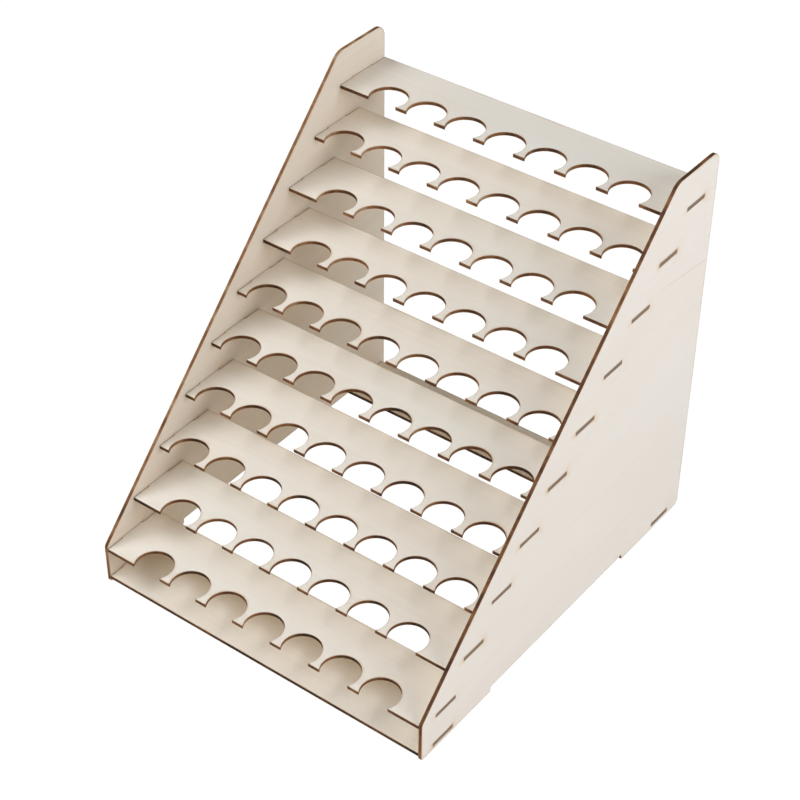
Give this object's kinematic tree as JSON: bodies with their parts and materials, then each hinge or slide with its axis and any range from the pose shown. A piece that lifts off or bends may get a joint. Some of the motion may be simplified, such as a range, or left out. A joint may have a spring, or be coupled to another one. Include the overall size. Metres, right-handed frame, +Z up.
{
  "type": "paint rack organizer",
  "caption": "Stepped plywood rack: notched shelves rise between two slanted side panels and hold round paint bottles and pots by the neck or body.",
  "frame": {"origin": "middle of the footprint, on the surface that the rack stands on", "axes": "+X along the shelves to the right seen from the front, -Y to the front where the notches open, +Z up"},
  "size_m": [0.315, 0.361, 0.348],
  "materials": {
    "panel_ply": "unfinished pale plywood, matt, laser-cut edges charred dark brown",
    "shelf_ply": "unfinished pale plywood, matt, laser-cut edges charred dark brown",
    "base_ply": "unfinished pale plywood, matt, laser-cut edges charred dark brown"
  },
  "bodies": {
    "root": {"left_side_panel": "panel_ply", "right_side_panel": "panel_ply", "shelf_01": "shelf_ply", "shelf_02": "shelf_ply", "shelf_03": "shelf_ply", "shelf_04": "shelf_ply", "shelf_05": "shelf_ply", "shelf_06": "shelf_ply", "shelf_07": "shelf_ply", "shelf_08": "shelf_ply", "shelf_09": "shelf_ply", "shelf_10": "shelf_ply", "front_base_plate": "base_ply", "rear_base_plate": "base_ply"}
  },
  "joints": []
}
